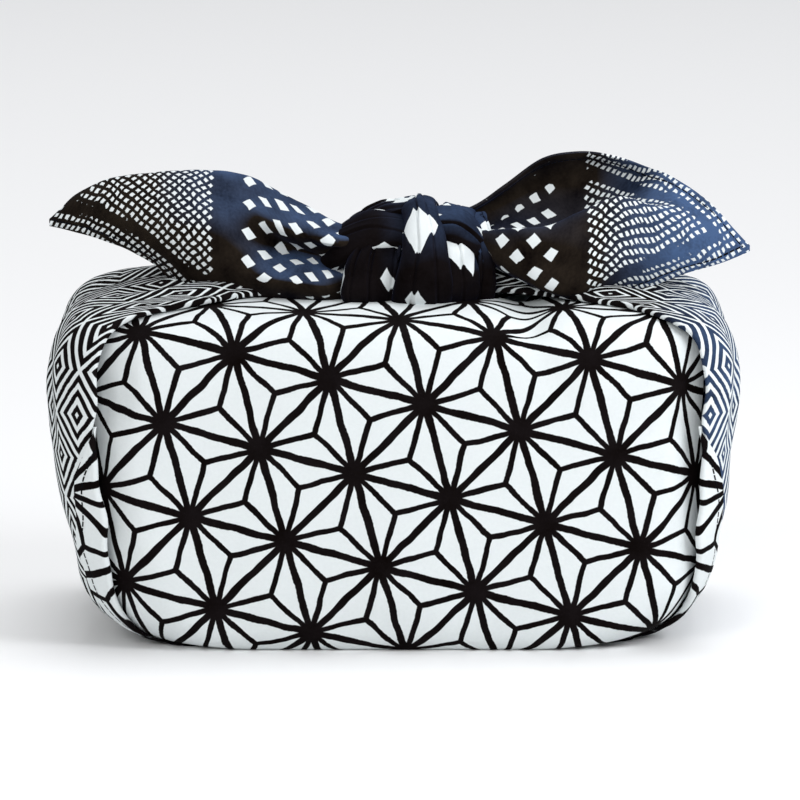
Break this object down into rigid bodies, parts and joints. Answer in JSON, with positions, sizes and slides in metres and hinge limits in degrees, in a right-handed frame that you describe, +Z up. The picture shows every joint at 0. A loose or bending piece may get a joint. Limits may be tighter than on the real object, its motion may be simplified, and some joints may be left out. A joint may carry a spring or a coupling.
{
  "type": "furoshiki wrap",
  "caption": "Square cotton wrapping cloth folded round a box-shaped bundle, its two end corners tied in a square knot on top with free ends spread to left and right.",
  "frame": {"origin": "middle of the flat underside that the bundle rests on", "axes": "+X along the bundle towards the right ear as seen from the front, -Y towards the front panel, +Z up"},
  "size_m": [0.2459, 0.1312, 0.1661],
  "materials": {
    "printed_cotton": "plain-woven cotton printed near-black on white, matt"
  },
  "bodies": {
    "root": {"cloth": "printed_cotton"}
  },
  "joints": []
}
